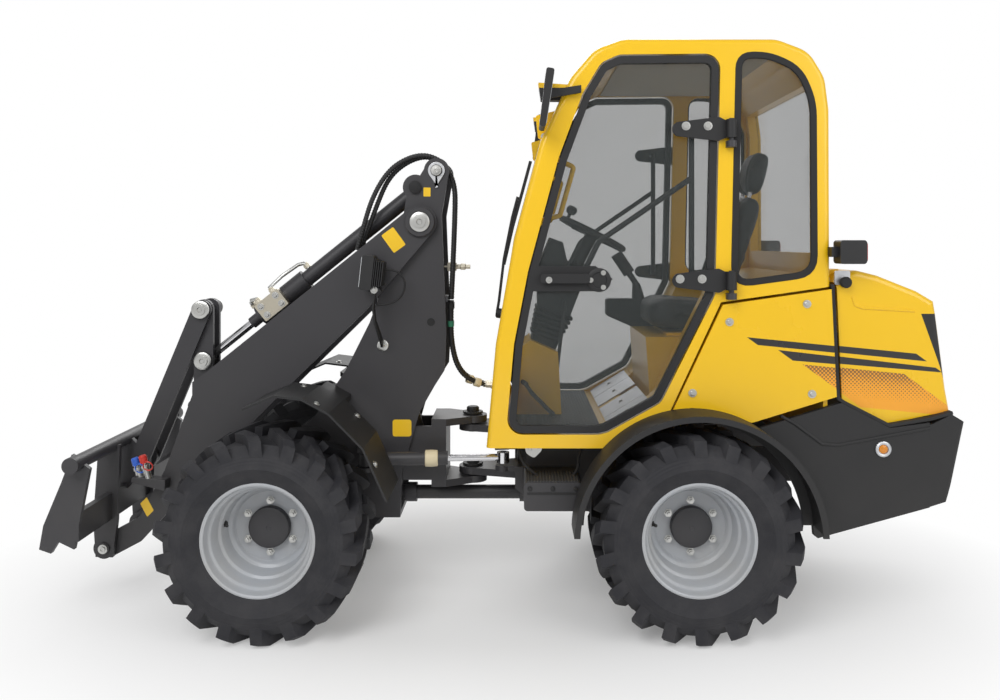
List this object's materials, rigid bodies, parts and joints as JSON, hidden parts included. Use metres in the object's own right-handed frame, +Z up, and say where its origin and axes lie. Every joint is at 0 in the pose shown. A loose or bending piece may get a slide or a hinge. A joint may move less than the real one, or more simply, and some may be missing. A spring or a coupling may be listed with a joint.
{
  "type": "compact wheel loader",
  "caption": "Compact articulated wheel loader with a glazed cab, lift boom, tilt linkage and open quick hitch, on lugged tyres.",
  "frame": {"origin": "middle of the overall length and width, on the ground under the tyres", "axes": "+X forward towards the hitch, +Y to the machine's left, +Z up"},
  "size_m": [3.572, 1.4, 2.274],
  "materials": {
    "yellow_paint": "gloss",
    "dark_grey_paint": "satin",
    "black_plastic": "satin",
    "seat_vinyl": "matte",
    "cab_glazing": "clear",
    "chrome_rod": "polished",
    "tyre_rubber": "matte",
    "rim_silver": "satin",
    "hose_rubber": "matte",
    "zinc_plate": "satin",
    "engine_grey": "matte"
  },
  "bodies": {
    "rear_frame": {"rear_chassis": "dark_grey_paint", "rear_axle": "dark_grey_paint", "engine_block": "engine_grey", "cab_frame": "yellow_paint", "cab_glass": "cab_glazing", "door_hinges": "dark_grey_paint", "seat": "seat_vinyl", "seat_base": "yellow_paint", "steering_column": "black_plastic", "front_console": "yellow_paint", "console": "black_plastic", "grab_handles": "yellow_paint", "mirrors": "black_plastic", "side_panels": "yellow_paint", "counterweight": "black_plastic", "rear_fenders": "black_plastic", "cab_lamps": "black_plastic"},
    "hood": {"hood": "yellow_paint", "hood_grille": "black_plastic"},
    "door_left": {"door_left_frame": "black_plastic", "door_left_glass": "cab_glazing"},
    "door_right": {"door_right_frame": "black_plastic", "door_right_glass": "cab_glazing"},
    "front_frame": {"front_frame": "dark_grey_paint", "front_axle": "dark_grey_paint", "front_fenders": "black_plastic", "work_lights": "black_plastic", "boom_hoses": "hose_rubber", "cab_hoses": "hose_rubber"},
    "boom": {"boom": "dark_grey_paint"},
    "hitch": {"hitch": "dark_grey_paint"},
    "rocker": {"rocker": "dark_grey_paint"},
    "tilt_links": {"tilt_links": "dark_grey_paint"},
    "tilt_barrel": {"tilt_barrel": "dark_grey_paint", "tilt_valve": "zinc_plate"},
    "tilt_piston": {"tilt_piston": "dark_grey_paint"},
    "tilt_rod": {"tilt_rod": "chrome_rod"},
    "lift_barrel": {"lift_barrel": "dark_grey_paint"},
    "lift_rod": {"lift_rod": "chrome_rod"},
    "steer_barrel": {"steer_barrel": "dark_grey_paint"},
    "steer_rod": {"steer_rod": "chrome_rod"},
    "drive_shaft": {"drive_shaft": "dark_grey_paint"},
    "wheel_fl": {"tyre_fl": "tyre_rubber", "rim_fl": "rim_silver"},
    "wheel_fr": {"tyre_fr": "tyre_rubber", "rim_fr": "rim_silver"},
    "wheel_rl": {"tyre_rl": "tyre_rubber", "rim_rl": "rim_silver"},
    "wheel_rr": {"tyre_rr": "tyre_rubber", "rim_rr": "rim_silver"}
  },
  "joints": [
    {"name": "articulation", "type": "hinge", "parent": "rear_frame", "child": "front_frame", "pos_m": [0.126, 0, 0.6], "axis": [0, 0, 1], "range_deg": [-45, 45]},
    {"name": "lift", "type": "hinge", "parent": "front_frame", "child": "boom", "pos_m": [0.342, 0, 1.578], "axis": [0, -1, 0], "range_deg": [0, 86]},
    {"name": "tilt", "type": "hinge", "parent": "boom", "child": "hitch", "pos_m": [1.667, 0, 0.206], "axis": [0, 1, 0], "range_deg": [0, 125]},
    {"name": "rocker_swing", "type": "hinge", "parent": "boom", "child": "rocker", "pos_m": [1.3, 0, 0.8], "axis": [0, 1, 0], "range_deg": [-1, 97.1]},
    {"name": "link_swing", "type": "hinge", "parent": "rocker", "child": "tilt_links", "pos_m": [1.3, 0, 1.2], "axis": [0, -1, 0], "range_deg": [-1, 101.8]},
    {"name": "tilt_cylinder_swing", "type": "hinge", "parent": "front_frame", "child": "tilt_barrel", "pos_m": [0.365, 0, 1.727], "axis": [0, -1, 0], "range_deg": [-1, 89.7]},
    {"name": "tilt_piston_slide", "type": "slide", "parent": "tilt_barrel", "child": "tilt_piston", "axis": [0.7792, 0, -0.6267], "range_m": [-0.211, 0.005]},
    {"name": "tilt_rod_slide", "type": "slide", "parent": "tilt_piston", "child": "tilt_rod", "axis": [0.7792, 0, -0.6267], "range_m": [-0.005, 0.267]},
    {"name": "lift_cylinder_swing", "type": "hinge", "parent": "front_frame", "child": "lift_barrel", "pos_m": [0.352, 0, 0.545], "axis": [0, -1, 0], "range_deg": [-6, 2]},
    {"name": "lift_rod_slide", "type": "slide", "parent": "lift_barrel", "child": "lift_rod", "axis": [0.2689, 0, 0.9632], "range_m": [-0.005, 0.511]},
    {"name": "steer_cylinder_swing", "type": "hinge", "parent": "front_frame", "child": "steer_barrel", "pos_m": [0.56, 0.24, 0.59], "axis": [0, 0, 1], "range_deg": [-9.5, 9.5]},
    {"name": "steer_rod_slide", "type": "slide", "parent": "steer_barrel", "child": "steer_rod", "axis": [-0.9975, -0.07, 0], "range_m": [-0.164, 0.164]},
    {"name": "drive_shaft_swing", "type": "hinge", "parent": "front_frame", "child": "drive_shaft", "pos_m": [0.72, 0, 0.39], "axis": [0, 0, 1], "range_deg": [-17, 17]},
    {"name": "door_left_hinge", "type": "hinge", "parent": "rear_frame", "child": "door_left", "pos_m": [-0.884, 0.556, 1.6], "axis": [0, 0, 1], "range_deg": [0, 100]},
    {"name": "door_right_hinge", "type": "hinge", "parent": "rear_frame", "child": "door_right", "pos_m": [-0.884, -0.556, 1.6], "axis": [0, 0, -1], "range_deg": [0, 100]},
    {"name": "hood_hinge", "type": "hinge", "parent": "rear_frame", "child": "hood", "pos_m": [-1.296, 0, 1.366], "axis": [0, 1, 0], "range_deg": [0, 50]},
    {"name": "wheel_fl_spin", "type": "hinge", "parent": "front_frame", "child": "wheel_fl", "pos_m": [0.89, 0.508, 0.39], "axis": [0, 1, 0], "continuous": true},
    {"name": "wheel_fr_spin", "type": "hinge", "parent": "front_frame", "child": "wheel_fr", "pos_m": [0.89, -0.508, 0.39], "axis": [0, 1, 0], "continuous": true},
    {"name": "wheel_rl_spin", "type": "hinge", "parent": "rear_frame", "child": "wheel_rl", "pos_m": [-0.742, 0.508, 0.39], "axis": [0, 1, 0], "continuous": true},
    {"name": "wheel_rr_spin", "type": "hinge", "parent": "rear_frame", "child": "wheel_rr", "pos_m": [-0.742, -0.508, 0.39], "axis": [0, 1, 0], "continuous": true}
  ],
  "couplings": [
    {"joint": "rocker_swing", "follows": "tilt", "ratio": 0.761},
    {"joint": "link_swing", "follows": "tilt", "ratio": 0.7988},
    {"joint": "tilt_cylinder_swing", "follows": "lift", "ratio": 1.0197},
    {"joint": "tilt_piston_slide", "follows": "lift", "m_per_rad": -0.13725},
    {"joint": "tilt_rod_slide", "follows": "tilt", "m_per_rad": 0.12011},
    {"joint": "lift_cylinder_swing", "follows": "lift", "ratio": -0.0279},
    {"joint": "lift_rod_slide", "follows": "lift", "m_per_rad": 0.33684},
    {"joint": "steer_cylinder_swing", "follows": "articulation", "ratio": -0.18996},
    {"joint": "steer_rod_slide", "follows": "articulation", "m_per_rad": -0.20195},
    {"joint": "drive_shaft_swing", "follows": "articulation", "ratio": -0.347}
  ]
}
